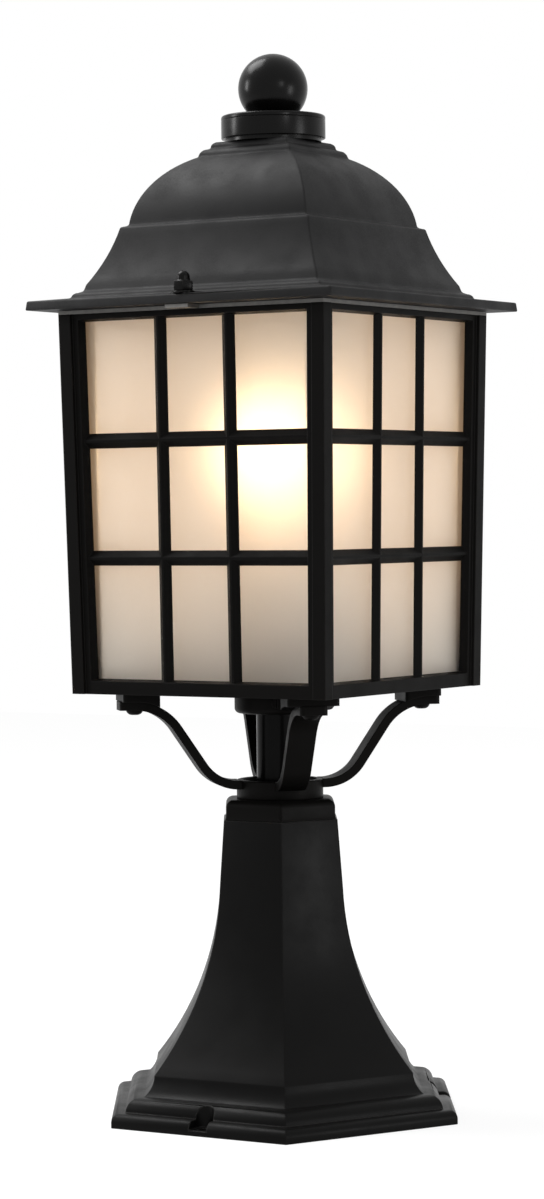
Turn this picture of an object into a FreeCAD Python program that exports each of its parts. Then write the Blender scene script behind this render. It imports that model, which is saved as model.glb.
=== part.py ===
"""Pillar lantern: a hollow six-sided pedestal, four strap arms, a square glazed cage and a domed roof.

Millimetres, +Z up, origin on the ground under the middle of the pedestal.
The cage is square to X and Y, with its arms on the diagonals.
"""
import FreeCAD, Part
import math
import os

Vector = FreeCAD.Vector
up = Vector(0, 0, 1)
origin = Vector(0, 0, 0)

# fits
seat_gap = 0.3          # between a moving piece and its seat
running_gap = 0.08      # radial, a shaft that turns in its hole
bolt_gap = 0.25         # radial, a bolt in a clearance hole
drop_in_gap = 0.15      # a pane or plate that is dropped into its rebate

# pedestal: six-sided casting; radii are to the flats
pedestal_turn = 3.7     # degrees that the pedestal stands round from the cage
rim_radius = 95.7
rim_height = 3.4
lower_step_outer = 91.4
lower_step_inner = 87.9
lower_step_height = 7.9
upper_step_outer = 81.0
upper_step_inner = 77.5
upper_step_height = 15.4
skirt_radius = 71.9
skirt_height = 26.5
shaft_foot_radius = 34.6
shaft_foot_height = 128.0
shaft_top_radius = 31.9
pedestal_height = 166.3
flare_sag = 8.5
step_bulge = 0.25       # share of a step's height that its ogee bulges
skirt_bulge = 0.12
pedestal_wall = 3.8
pedestal_rim_wall = 5.0
pedestal_top_wall = 5.0
ground_screw_circle = 177.2
ground_screw_radius = 3.0
ground_screw_count = 3
pocket_radius = 5.6
pocket_floor = 3.0
pocket_wall = 2.4

# pedestal cap
cap_radius = 30.7
cap_height = 11.1
cap_round = 4.2
cap_edge_round = 2.0
cap_spigot_drop = 3.0
cap_draft = 0.6

# stem tube and its nuts
stem_radius = 13.0
stem_wall = 2.0
stem_nut_flats = 36.0
stem_nut_height = 7.0
stem_below_nut = 3.0
stem_above_nut = 1.5
washer_thickness = 1.6

# hub ring and arms
hub_radius = 24.5
hub_height = 10.6
hub_recess_radius = 21.0
hub_recess_depth = 3.0
hub_round = 1.0
arm_width = 15.5
arm_thickness = 5.0
arm_upper_bend = 30.0
arm_lower_bend = 24.6
arm_flat_start = 84.6
arm_end_radius = 92.3
arm_screw_radius_out = 83.0
arm_lower_bend_start = 24.8
arm_tip_round = 2.5
arm_screw_shank = 2.5
arm_screw_head = 4.75
arm_screw_head_height = 2.8
arm_screw_crown = 2.1
arm_screw_edge = 0.5
arm_screw_socket = 3.0
arm_screw_socket_depth = 1.6
arm_screw_past_nut = 1.2
arm_nut_flats = 8.0
arm_nut_height = 4.0

# cage tray
cage_bottom_z = 238.5
cage_bottom_half = 83.45
cage_top_half = 87.4
cage_height = 213.5
tray_thickness = 3.0
foot_length = 21.0
foot_width = 29.0
foot_height = 4.7
foot_round = 2.2
foot_radius_out = 81.0
cup_radius = 25.3
cup_height = 13.0
cup_round = 3.0
cup_wall = 3.0
cup_screw_radius = 2.0
cup_screw_head = 2.9
cup_screw_head_height = 1.3
cup_screw_length = 8.0
cup_screw_direction = -60.0
cup_screw_slot_width = 0.9
cup_screw_slot_depth = 0.6

# side frames, panes and corner angles
frame_depth = 9.5
post_width = 8.0
post_step = 0.3
stile_width = 14.1
stile_bevel = 2.4
stile_recess = 1.8
rail_bevel = 1.2
bottom_rail_height = 8.5
top_rail_depth = 6.3
glass_depth = 6.1
glass_lap = 1.7
frame_top_gap = 2.0
upright_bar_offset = 22.5
lower_bar_height = 67.2
upper_bar_height = 132.3
bar_width = 8.4
bar_ridge = 1.2
bar_ridge_depth = 3.1
glass_thickness = 3.0
glass_seat = 3.2
glass_side_gap = 0.3    # beside a pane, and beside the rebate that it stands in
lug_offset = 43.0
lug_width = 12.0
lug_reach = 9.0
lug_thickness = 3.0
lug_screw_inset = 4.3
frame_screw_radius = 1.75
frame_screw_head = 3.4
frame_screw_head_height = 1.7
frame_screw_length = 6.0
angle_leg = 4.5
angle_thickness = 1.4

# top plate and the roof's studs
top_plate_inner_half = 64.0
tab_width = 15.0
tab_past_stud = 7.0
roof_stud_past_cage = 3.6
roof_stud_radius = 2.5
roof_stud_head = 4.0
roof_stud_head_height = 1.0
roof_stud_above_washer = 7.4
cap_nut_flats = 10.0
cap_nut_hex_height = 5.2
cap_nut_height = 10.9
cap_nut_bore_depth = 8.0
cap_nut_dome_radius = 3.6
cap_nut_chamfer = 0.45
roof_washer_radius = 6.3
roof_washer_thickness = 1.4
spot_face_rise = 0.4    # the washers' seat above the eave's outer edge

# roof: square casting; half-widths
eave_overhang = 12.6
eave_lip = 0.6
eave_edge = 5.1
eave_flat = 17.7
eave_rise = 1.9
ovolo_width = 2.5
ovolo_rise = 2.9
ovolo_sag = 0.8
skirt_step = 2.4
skirt_step_rise = 1.1
skirt_foot_width = 1.0
skirt_foot_rise = 3.4
dome_ledge_half = 62.5
dome_foot_half = 59.1
dome_foot_z = 499.8
dome_ledge_drop = 0.9
dome_top_half = 30.7
dome_top_z = 538.6
crown_ledge_half = 28.7
crown_ledge_z = 542.4
crown_ledge_sag = 0.5
crown_half = 25.6
crown_shoulder_z = 543.3
crown_top_half = 23.4
crown_top_z = 547.0
crown_sag = 0.9
dome_sag = 6.3
skirt_sag = 1.4
roof_wall = 3.4
crown_wall = 5.0

# finial
collar_neck_radius = 27.1
collar_neck_height = 2.1
collar_radius = 29.4
collar_height = 13.0
collar_round = 1.3
collar_foot_round = 0.5
ball_radius = 19.6
ball_centre_rise = 15.3
finial_stud_radius = 4.0
finial_stud_in_ball = 17.0
finial_stud_below_nut = 2.0
finial_bore_spare = 1.0
finial_nut_flats = 13.0
finial_nut_height = 6.5
finial_washer_radius = 9.0

# lampholder, bulb and wiring
bracket_span = 60.0
bracket_width = 20.0
bracket_height = 35.0
bracket_strip = 2.0
bracket_foot = 12.0
bracket_hole = 8.0
bracket_screw_radius = 2.0
bracket_screw_head = 3.6
bracket_screw_head_height = 2.4
bracket_screw_head_round = 1.0
bracket_screw_slot_width = 1.0
bracket_screw_slot_depth = 1.1
bracket_screw_past_tray = 2.0
holder_radius = 21.0
holder_height = 44.0
holder_base_height = 14.0
holder_mouth_round = 3.0
holder_mouth_sag = 0.8
holder_shoulder = 2.0
holder_shoulder_sag = 0.5
holder_passage_depth = 8.0
shell_thickness = 0.5
shell_height = 27.0
contact_radius = 6.0
contact_height = 2.0
bulb_cap_radius = 13.1
bulb_cap_height = 25.0
bulb_cap_tip_radius = 5.0
bulb_cap_tip_height = 3.0
bulb_cap_edge = 2.0
bulb_globe_radius = 30.0
bulb_neck_radius = 12.2
bulb_shoulder_drop = 0.72    # share of the globe's radius, from its middle down to where the neck starts
bulb_neck_hollow = 0.09      # share of the radius halfway up the neck that it curves in
bulb_globe_rise = 50.5
bulb_wall = 1.0
stem_glass_radius = 4.0
stem_glass_height = 22.0
stem_glass_foot = 3.0
stem_glass_gap = 1.0
filament_count = 4
filament_radius = 0.9
filament_length = 30.0
filament_circle = 8.0
filament_plate = 1.0
block_length = 26.0
block_width = 17.0
block_height = 18.0
block_offset = 46.0
block_round = 1.5
block_mouth_depth = 5.0
block_screw_radius = 2.2
block_screw_length = 3.0
block_screw_sunk = 1.0
block_screw_slot_width = 0.8
block_screw_slot_depth = 0.8
wire_radius = 1.3
wire_spacing = 8.0
wire_bend = 6.5
wire_above_grommet = 0.6
wire_in_block = 4.0
wire_in_holder = 6.0
grommet_lip = 1.6
grommet_wall = 1.8

# heights that follow from the sizes above
cap_top_z = pedestal_height + cap_height
hub_top_z = cap_top_z + hub_height
foot_bottom_z = cage_bottom_z - foot_height
arm_flat_z = foot_bottom_z - arm_thickness / 2
arm_root_z = hub_top_z - arm_thickness / 2
tray_top_z = cage_bottom_z + tray_thickness
cage_top_z = cage_bottom_z + cage_height
frame_top_z = cage_top_z - frame_top_gap
frame_lean = math.atan((cage_top_half - cage_bottom_half) / cage_height)
rail_inner_half = cage_bottom_half - frame_depth
opening_low_z = cage_bottom_z + bottom_rail_height
opening_high_z = cage_top_z - top_rail_depth
eave_half = cage_top_half + eave_overhang
skirt_foot_half = eave_half - eave_flat - ovolo_width - skirt_step
roof_stud_reach = cage_top_half + roof_stud_past_cage
eave_bottom_z = cage_top_z + seat_gap
eave_top_z = eave_bottom_z + eave_edge
stud_seat_z = eave_top_z + spot_face_rise
cap_nut_z = stud_seat_z + roof_washer_thickness + seat_gap
collar_top_z = crown_top_z + collar_neck_height + collar_height
ball_centre_z = collar_top_z + ball_centre_rise
stem_top_z = tray_top_z + washer_thickness + stem_nut_height + stem_above_nut
stem_bottom_z = pedestal_height - pedestal_top_wall - stem_nut_height - stem_below_nut
bracket_top_z = tray_top_z + bracket_height
holder_top_z = bracket_top_z + holder_height
socket_floor_z = bracket_top_z + holder_base_height
bulb_base_z = socket_floor_z + contact_height + seat_gap
bulb_cap_z = bulb_base_z + bulb_cap_tip_height
bulb_neck_z = bulb_cap_z + bulb_cap_height
socket_radius = bulb_cap_radius + running_gap


# outlines and simple solids
def outline(start, moves):
    """Closed face in the XZ plane; a move is (x, z), or (x, z, sag) for an arc bulging to the left."""
    here = Vector(start[0], 0, start[1])
    first = here
    edges = []
    for move in moves:
        end = Vector(move[0], 0, move[1])
        if len(move) == 3:
            run = end.sub(here)
            left = Vector(-run.z, 0, run.x).normalize()
            middle = here.add(end).multiply(0.5).add(left.multiply(move[2]))
            edges.append(Part.Arc(here, middle, end).toShape())
        else:
            edges.append(Part.LineSegment(here, end).toShape())
        here = end
    if here.distanceToPoint(first) > 1e-6:
        edges.append(Part.LineSegment(here, first).toShape())
    return Part.Face(Part.Wire(edges))


def turned(face):
    """The outline turned a full circle about the vertical axis."""
    return face.revolve(origin, up, 360)


def mitred(face, sides):
    """The outline carried round a regular polygon with mitred corners, first flat facing +X."""
    reach = face.BoundBox.XMax + 10
    half_angle = math.pi / sides
    spread = reach * math.tan(half_angle)
    bar = face.copy()
    bar.translate(Vector(0, -2 * spread, 0))
    bar = bar.extrude(Vector(0, 4 * spread, 0))
    low = face.BoundBox.ZMin - 10
    corners = [(0, 0), (reach, -spread), (reach, spread)]
    wedge = prism([Vector(x, y, low) for x, y in corners], Vector(0, 0, face.BoundBox.ZLength + 20))
    sector = bar.common(wedge)
    others = []
    for step in range(1, sides):
        copy = sector.copy()
        copy.rotate(origin, up, 360.0 * step / sides)
        others.append(copy)
    return sector.fuse(others).removeSplitter()


def prism(points, run):
    """A polygon extruded along run."""
    return Part.Face(Part.makePolygon(points + [points[0]])).extrude(run)


def block(x0, x1, y0, y1, z0, z1):
    return Part.makeBox(x1 - x0, y1 - y0, z1 - z0, Vector(x0, y0, z0))


def square_slab(half, z0, z1):
    return block(-half, half, -half, half, z0, z1)


def rod(radius, z0, z1, x=0.0, y=0.0):
    return Part.makeCylinder(radius, z1 - z0, Vector(x, y, z0))


def pipe(outer, inner, z0, z1, x=0.0, y=0.0):
    return rod(outer, z0, z1, x, y).cut(rod(inner, z0 - 1, z1 + 1, x, y))


def hexagon(flats, z0, z1, x=0.0, y=0.0):
    """A hexagonal bar, flats is the size across its flats."""
    radius = flats / math.sqrt(3)
    points = []
    for step in range(6):
        angle = math.radians(60 * step)
        points.append(Vector(x + radius * math.cos(angle), y + radius * math.sin(angle), z0))
    return prism(points, Vector(0, 0, z1 - z0))


def chamfered_nut(flats, bore, z0, z1, x=0.0, y=0.0):
    """A hexagon nut with both faces turned to a cone at the corners."""
    corner = flats / math.sqrt(3)
    drop = (corner - flats / 2) * math.tan(math.radians(30))
    face = outline((0, z0), [
        (flats / 2, z0),
        (corner, z0 + drop),
        (corner, z1 - drop),
        (flats / 2, z1),
        (0, z1),
    ])
    cone = turned(face)
    cone.translate(Vector(x, y, 0))
    return hexagon(flats, z0, z1, x, y).common(cone).cut(rod(bore, z0 - 1, z1 + 1, x, y))


def rotated(shape, degrees, axis=up, centre=origin):
    copy = shape.copy()
    copy.rotate(centre, axis, degrees)
    return copy


def group(shapes):
    return Part.makeCompound(shapes)


def round_edges(shape, radius, wanted):
    """Fillet every edge that the test picks."""
    return shape.makeFillet(radius, [edge for edge in shape.Edges if wanted(edge)])


def is_vertical(edge):
    box = edge.BoundBox
    return box.ZLength > 0.5 and box.XLength < 0.01 and box.YLength < 0.01


def is_level(edge, z):
    box = edge.BoundBox
    return box.ZLength < 0.01 and abs(box.ZMin - z) < 0.01


def diagonal_places(radius):
    """The four places at this radius on the cage's diagonals, each with its direction in degrees."""
    for direction in (-45, 45, 135, 225):
        angle = math.radians(direction)
        yield direction, radius * math.cos(angle), radius * math.sin(angle)


# pedestal
def pedestal_outline():
    lower_round = (lower_step_height - rim_height) * step_bulge
    upper_round = (upper_step_height - lower_step_height) * step_bulge
    skirt_hollow = (skirt_height - upper_step_height) * skirt_bulge
    return outline((0, 0), [
        (rim_radius, 0),
        (rim_radius, rim_height),
        (lower_step_outer, lower_step_height, -lower_round),
        (lower_step_inner, lower_step_height),
        (upper_step_outer, upper_step_height, -upper_round),
        (upper_step_inner, upper_step_height),
        (skirt_radius, skirt_height, skirt_hollow),
        (shaft_foot_radius, shaft_foot_height, flare_sag),
        (shaft_top_radius, pedestal_height),
        (0, pedestal_height),
    ])


def pedestal_hollow_outline():
    wall = pedestal_wall
    ceiling = pedestal_height - pedestal_top_wall
    return outline((0, 0), [
        (rim_radius - pedestal_rim_wall, 0),
        (lower_step_inner - wall, lower_step_height - wall),
        (upper_step_inner - wall, upper_step_height - wall),
        (skirt_radius - wall, skirt_height - wall / 2),
        (shaft_foot_radius - wall, shaft_foot_height, flare_sag),
        (shaft_top_radius - wall, ceiling),
        (0, ceiling),
    ])


def ground_screw_places():
    """Middles of the pockets in every other side of the base."""
    for step in range(ground_screw_count):
        angle = math.radians(-90 + pedestal_turn + 360.0 * step / ground_screw_count)
        yield angle, ground_screw_circle / 2 * math.cos(angle), ground_screw_circle / 2 * math.sin(angle)


def pedestal():
    first_flat = -90 + pedestal_turn
    body = rotated(mitred(pedestal_outline(), 6), first_flat)
    hollow = rotated(mitred(pedestal_hollow_outline(), 6), first_flat)
    shell = body.cut(hollow)
    for angle, x, y in ground_screw_places():
        boss = rod(pocket_radius + pocket_wall, 0, skirt_height, x, y).common(body)
        shell = shell.fuse(boss)
    for angle, x, y in ground_screw_places():
        mouth = block(0, rim_radius, -pocket_radius, pocket_radius, pocket_floor, skirt_height)
        mouth.rotate(origin, up, math.degrees(angle))
        mouth.translate(Vector(x, y, 0))
        shell = shell.cut(rod(pocket_radius, pocket_floor, skirt_height, x, y).fuse(mouth))
        shell = shell.cut(rod(ground_screw_radius, -1, pocket_floor + 1, x, y))
    return shell.cut(rod(stem_radius + bolt_gap, 0, pedestal_height + 1)).removeSplitter()


def pedestal_cap():
    top = cap_top_z
    sag = cap_round * (1 - math.cos(math.radians(45)))
    face = outline((0, pedestal_height), [
        (cap_radius + cap_draft, pedestal_height),
        (cap_radius, pedestal_height + cap_draft * 2),
        (cap_radius, top - cap_round),
        (cap_radius - cap_round, top, -sag),
        (0, top),
    ])
    cap = mitred(face, 6)
    cap = round_edges(cap, cap_edge_round, is_vertical)
    cap = cap.cut(rod(stem_radius + bolt_gap, pedestal_height - 1, top + 1))
    hollow = rod(cap_radius - 2 * cap_round, pedestal_height - 1, top - 2 * cap_spigot_drop)
    cap = cap.cut(hollow.cut(rod(stem_radius + cap_spigot_drop, pedestal_height - 1, top)))
    return rotated(cap, -90 + pedestal_turn)


# stem
def stem_tube():
    return pipe(stem_radius, stem_radius - stem_wall, stem_bottom_z, stem_top_z)


def stem_nut_lower():
    top = pedestal_height - pedestal_top_wall
    return chamfered_nut(stem_nut_flats, stem_radius, top - stem_nut_height, top)


def stem_washer():
    return pipe(stem_nut_flats / 2, stem_radius + bolt_gap, tray_top_z, tray_top_z + washer_thickness)


def stem_nut_upper():
    bottom = tray_top_z + washer_thickness
    return chamfered_nut(stem_nut_flats, stem_radius, bottom, bottom + stem_nut_height)


def tube_grommet():
    """Rubber edge ring over the stem's upper end, so that the cable doesn't rub on bare steel."""
    outer = stem_radius + grommet_wall
    lip = pipe(outer, stem_radius - stem_wall + bolt_gap, stem_top_z, stem_top_z + grommet_lip)
    skirt = pipe(outer, stem_radius, stem_top_z - stem_above_nut, stem_top_z)
    return lip.fuse(skirt)


# hub ring and arms
def hub_ring():
    ring = rod(hub_radius, cap_top_z, hub_top_z)
    ring = round_edges(ring, hub_round, lambda edge: is_level(edge, hub_top_z))
    ring = ring.cut(rod(hub_recess_radius, hub_top_z - hub_recess_depth, hub_top_z + 1))
    return ring.cut(rod(stem_radius + bolt_gap, cap_top_z - 1, hub_top_z))


def arm_side_outline():
    """Side view of a strap arm: flat at the foot, an S bend, level again at the hub."""
    half = arm_thickness / 2
    upper_x = arm_flat_start
    upper_z = arm_flat_z - arm_upper_bend
    lower_x = arm_lower_bend_start
    lower_z = arm_root_z + arm_lower_bend
    distance = math.hypot(upper_x - lower_x, upper_z - lower_z)
    slope = math.atan2(upper_z - lower_z, upper_x - lower_x)
    turn = math.asin((arm_upper_bend + arm_lower_bend) / distance) + slope

    def on_upper(radius, angle):
        return upper_x - radius * math.sin(angle), upper_z + radius * math.cos(angle)

    def on_lower(radius, angle):
        return lower_x + radius * math.sin(angle), lower_z - radius * math.cos(angle)

    def sag(radius):
        return radius * (1 - math.cos(turn / 2))

    root_x = hub_radius / 2
    return outline((root_x, arm_root_z + half), [
        (lower_x, arm_root_z + half),
        on_lower(arm_lower_bend - half, turn) + (-sag(arm_lower_bend - half),),
        on_upper(arm_upper_bend + half, turn),
        (upper_x, arm_flat_z + half, sag(arm_upper_bend + half)),
        (arm_end_radius, arm_flat_z + half),
        (arm_end_radius, arm_flat_z - half),
        (upper_x, arm_flat_z - half),
        on_upper(arm_upper_bend - half, turn) + (-sag(arm_upper_bend - half),),
        on_lower(arm_lower_bend + half, turn),
        (lower_x, arm_root_z - half, sag(arm_lower_bend + half)),
        (root_x, arm_root_z - half),
    ])


def arm(direction):
    strap = arm_side_outline()
    strap.translate(Vector(0, -arm_width / 2, 0))
    strap = strap.extrude(Vector(0, arm_width, 0))
    strap = strap.cut(rod(hub_radius, cap_top_z, cage_bottom_z))
    strap = round_edges(
        strap, arm_tip_round, lambda edge: is_vertical(edge) and edge.BoundBox.XMin > arm_flat_start)
    hole = rod(arm_screw_shank + bolt_gap, cap_top_z, cage_bottom_z, arm_screw_radius_out, 0)
    seat = arm_flat_z - arm_thickness / 2
    spot_face = rod(arm_screw_head + bolt_gap, seat - arm_thickness, seat, arm_screw_radius_out, 0)
    return rotated(strap.cut(hole).cut(spot_face), direction)


def arm_screw(x, y):
    """Button-head screw, head under the arm and shank up into the tray."""
    seat = arm_flat_z - arm_thickness / 2
    low = seat - arm_screw_head_height
    face = outline((0, low), [
        (arm_screw_crown, low),
        (arm_screw_head, seat - arm_screw_edge, -arm_screw_edge),
        (arm_screw_head, seat),
        (0, seat),
    ])
    head = turned(face).cut(hexagon(arm_screw_socket, low - 1, low + arm_screw_socket_depth))
    head.translate(Vector(x, y, 0))
    return head.fuse(rod(arm_screw_shank, seat, tray_top_z + arm_nut_height + arm_screw_past_nut, x, y))


def arm_screws():
    return group([arm_screw(x, y) for direction, x, y in diagonal_places(arm_screw_radius_out)])


def arm_nuts():
    nuts = []
    top = tray_top_z + arm_nut_height
    for direction, x, y in diagonal_places(arm_screw_radius_out):
        nuts.append(chamfered_nut(arm_nut_flats, arm_screw_shank, tray_top_z, top, x, y))
    return group(nuts)


# the leaning sides of the cage
def side_wedge(z0, z1):
    """The quarter of the cage in front of its two diagonals, facing -Y."""
    reach = 2 * cage_top_half
    corners = [Vector(0, 0, z0), Vector(-reach, -reach, z0), Vector(reach, -reach, z0)]
    return prism(corners, Vector(0, 0, z1 - z0))


def leaning(shape):
    """Lean an upright front piece so that its outer face follows the cage's taper."""
    hinge = Vector(0, -cage_bottom_half, cage_bottom_z)
    return rotated(shape, math.degrees(frame_lean), Vector(1, 0, 0), hinge)


def slope_half(z):
    """Half-width of the cage at this height."""
    return cage_bottom_half + (z - cage_bottom_z) * math.tan(frame_lean)


def front_panel(inset_low, inset_high, z0, z1, depth0, depth1):
    """Upright slab behind the front face, its sides inset from the cage's corners below and above."""
    low = slope_half(z0) - inset_low
    high = slope_half(z1) - inset_high
    y = -cage_bottom_half + depth0
    corners = [Vector(-low, y, z0), Vector(low, y, z0), Vector(high, y, z1), Vector(-high, y, z1)]
    return prism(corners, Vector(0, depth1 - depth0, 0))


def bevelled_bar(length_axis, centre, low, high):
    """Glazing bar with a narrow ridge and sloping sides, from the glass plane outwards."""
    base = bar_width / 2
    ridge = bar_ridge / 2
    y_base = -cage_bottom_half + glass_depth
    y_ridge = -cage_bottom_half + bar_ridge_depth
    section = [(-base, y_base), (-ridge, y_ridge), (ridge, y_ridge), (base, y_base)]
    if length_axis == "z":
        return prism([Vector(centre + u, y, low) for u, y in section], Vector(0, 0, high - low))
    return prism([Vector(low, y, centre + u) for u, y in section], Vector(high - low, 0, 0))


def front_trapezoid(inset, z0, z1, depth):
    """Four-sided wire parallel to the front face, its sides inset from the cage's corners."""
    y = -cage_bottom_half + depth
    low = slope_half(z0) - inset
    high = slope_half(z1) - inset
    corners = [Vector(-low, y, z0), Vector(low, y, z0), Vector(high, y, z1), Vector(-high, y, z1)]
    return Part.makePolygon(corners + [corners[0]])


def bevelled_opening():
    """What the opening takes out of the frame, wider in front than at the glass."""
    low = opening_low_z
    high = opening_high_z
    wide = stile_width - stile_bevel
    wires = [
        front_trapezoid(wide, low - rail_bevel, high + rail_bevel, stile_recess),
        front_trapezoid(stile_width, low, high, glass_depth),
    ]
    return Part.makeLoft(wires, True, True)


def post_recess(above):
    """What stands the rails and stiles back from the two corner posts."""
    wires = [
        front_trapezoid(post_width - post_step, cage_bottom_z - 5, above, -post_step),
        front_trapezoid(post_width + post_step, cage_bottom_z - 5, above, stile_recess),
    ]
    return Part.makeLoft(wires, True, True)


def glass_rebate():
    inset = frame_depth + glass_side_gap
    return front_panel(inset, inset, glass_foot_z(), glass_head_z(), glass_depth, frame_depth + 1)


def glass_foot_z():
    return tray_top_z + glass_seat


def glass_head_z():
    return opening_high_z + glass_lap


def glazing_bars():
    """Two upright and two level bars in front of the glass, with sloping sides."""
    low = opening_low_z - rail_bevel
    high = opening_high_z + rail_bevel
    bars = []
    for across in (-upright_bar_offset, upright_bar_offset):
        bars.append(bevelled_bar("z", across, low, high))
    for height in (lower_bar_height, upper_bar_height):
        bars.append(bevelled_bar("x", opening_low_z + height, -cage_top_half, cage_top_half))
    margin = stile_width - stile_bevel
    return bars[0].fuse(bars[1:]).common(front_panel(margin, margin, low, high, 0, frame_depth))


def side_frame():
    """Front side frame: corner posts, recessed stiles and rails, glazing bars and screw lugs."""
    above = frame_top_z + 10
    over = 2 * frame_depth
    frame = front_panel(-over, -over, cage_bottom_z - 5, above, 0, frame_depth)
    frame = frame.cut(post_recess(above)).cut(bevelled_opening())
    opening = front_panel(
        stile_width, stile_width, opening_low_z, opening_high_z, stile_recess, frame_depth + 1)
    frame = frame.cut(opening).fuse(glazing_bars()).cut(glass_rebate())
    frame = leaning(frame)
    for place in (-lug_offset, lug_offset):
        for z0, z1 in ((tray_top_z, tray_top_z + lug_thickness), (frame_top_z - lug_thickness, frame_top_z)):
            back = -slope_half(z0) + frame_depth
            lug = block(place - lug_width / 2, place + lug_width / 2, back - 3, back + lug_reach, z0, z1)
            hole = rod(frame_screw_radius, z0 - 1, z1 + 1, place, back + lug_screw_inset)
            frame = frame.fuse(lug).cut(hole)
    frame = frame.cut(leaning(glass_rebate()))
    return frame.common(side_wedge(cage_bottom_z, frame_top_z)).removeSplitter()


def glass_pane():
    """Frosted pane, a little narrower at the foot, in the rebate behind the glazing bars."""
    low = glass_foot_z() + drop_in_gap
    high = glass_head_z() - drop_in_gap
    inset = frame_depth + 2 * glass_side_gap
    near = glass_depth + drop_in_gap
    return leaning(front_panel(inset, inset, low, high, near, near + glass_thickness))


def corner_angle():
    """Angle strip up the inside of the front-right corner, behind the edges of two panes."""
    outer = frame_depth + drop_in_gap
    slab = leaning(front_panel(0, 0, cage_bottom_z, frame_top_z + 10, outer, outer + angle_thickness))
    slab = slab.common(side_wedge(tray_top_z + seat_gap / 3, frame_top_z))
    edge = rail_inner_half - angle_leg
    leg = slab.common(block(edge, 2 * cage_top_half, -2 * cage_top_half, 0, tray_top_z, frame_top_z))
    other = leg.mirror(origin, Vector(1, 1, 0))
    return leg.fuse(other).removeSplitter()


# tray
def foot(direction):
    """Block under the tray that an arm is screwed to; its underside follows the arm's bend."""
    inner = foot_radius_out - foot_length / 2
    outer = foot_radius_out + foot_length / 2
    bend = arm_upper_bend + arm_thickness / 2
    turn = math.asin((arm_flat_start - inner) / bend)
    drop = bend * (1 - math.cos(turn))
    pad = outline((inner, cage_bottom_z), [
        (inner, foot_bottom_z - drop),
        (arm_flat_start, foot_bottom_z, bend * (1 - math.cos(turn / 2))),
        (outer, foot_bottom_z),
        (outer, cage_bottom_z),
    ])
    pad.translate(Vector(0, -foot_width / 2, 0))
    pad = pad.extrude(Vector(0, foot_width, 0))
    return rotated(round_edges(pad, foot_round, is_vertical), direction)


def lug_places():
    """For each lug, the turn of its side in radians and its place across that side."""
    for turn in (0, 90, 180, 270):
        angle = math.radians(turn)
        for place in (-lug_offset, lug_offset):
            yield angle, place


def lug_point(z, angle, place):
    """Screw centre of a lug whose frame is at this height."""
    depth = -slope_half(z) + frame_depth + lug_screw_inset
    x = place * math.cos(angle) - depth * math.sin(angle)
    y = place * math.sin(angle) + depth * math.cos(angle)
    return x, y


def floor_tray():
    tray = square_slab(rail_inner_half - drop_in_gap, cage_bottom_z, tray_top_z)
    for direction, x, y in diagonal_places(foot_radius_out):
        tray = tray.fuse(foot(direction))
    for direction, x, y in diagonal_places(arm_screw_radius_out):
        tray = tray.cut(rod(arm_screw_shank + bolt_gap, foot_bottom_z - 1, tray_top_z + 1, x, y))
    for angle, place in lug_places():
        x, y = lug_point(tray_top_z, angle, place)
        tray = tray.cut(countersunk(x, y, cage_bottom_z, tray_top_z + 1))
    for side in (-1, 1):
        x = side * (bracket_span / 2 + bracket_foot / 2)
        tray = tray.cut(rod(bracket_screw_radius, cage_bottom_z - 1, tray_top_z + 1, x, 0))
    tray = tray.cut(rod(stem_radius + bolt_gap, cage_bottom_z - 1, tray_top_z + 1))
    return tray.removeSplitter()


def stem_cup():
    """Round cup that covers the stem's joint under the tray."""
    low = cage_bottom_z - cup_height
    cup = rod(cup_radius, low, cage_bottom_z)
    cup = round_edges(cup, cup_round, lambda edge: is_level(edge, low))
    hollow = rod(cup_radius - cup_wall, low + cup_wall, cage_bottom_z + 1)
    cup = cup.cut(hollow).fuse(rod(stem_radius + cup_wall, low, cage_bottom_z))
    hole = Part.makeCylinder(cup_screw_radius, 2 * cup_radius, cup_screw_centre(), cup_screw_axis())
    return cup.cut(hole).cut(rod(stem_radius + bolt_gap, low - 1, cage_bottom_z + 1))


def cup_screw_axis():
    angle = math.radians(cup_screw_direction)
    return Vector(math.cos(angle), math.sin(angle), 0)


def cup_screw_centre():
    return Vector(0, 0, cage_bottom_z - cup_height / 2)


def cup_screw():
    """Slotted screw through the cup's wall that locks it on the stem."""
    head_at = cup_screw_centre().add(cup_screw_axis().multiply(cup_radius))
    inner_at = cup_screw_centre().add(cup_screw_axis().multiply(cup_radius - cup_screw_length - cup_wall))
    length = cup_screw_length + cup_wall
    shank = Part.makeCylinder(cup_screw_radius, length, inner_at, cup_screw_axis())
    shank = shank.cut(rod(stem_radius + running_gap, cage_bottom_z - 2 * cup_height, cage_bottom_z))
    head = Part.makeCylinder(cup_screw_head, cup_screw_head_height, head_at, cup_screw_axis())
    head = head.cut(rod(cup_radius, cage_bottom_z - 2 * cup_height, cage_bottom_z))
    half = cup_screw_slot_width / 2
    slot_floor = cup_radius + cup_screw_head_height - cup_screw_slot_depth
    slot = block(slot_floor, 2 * cup_radius, -half, half, cage_bottom_z - 2 * cup_height, cage_bottom_z)
    slot.rotate(origin, up, cup_screw_direction)
    return shank.fuse(head.cut(slot))


def countersunk(x, y, face_z, point_z):
    """Countersunk screw with its head flush at face_z and its point at point_z."""
    down = 1 if face_z > point_z else -1
    neck_z = face_z - down * frame_screw_head_height
    face = outline((0, face_z), [
        (frame_screw_head, face_z),
        (frame_screw_radius, neck_z),
        (frame_screw_radius, point_z),
        (0, point_z),
    ])
    screw = turned(face)
    screw.translate(Vector(x, y, 0))
    return screw


def tray_screws():
    """Countersunk screws up through the tray into the lower lugs."""
    screws = []
    for angle, place in lug_places():
        x, y = lug_point(tray_top_z, angle, place)
        screws.append(countersunk(x, y, cage_bottom_z, tray_top_z + lug_thickness))
    return group(screws)


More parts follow.
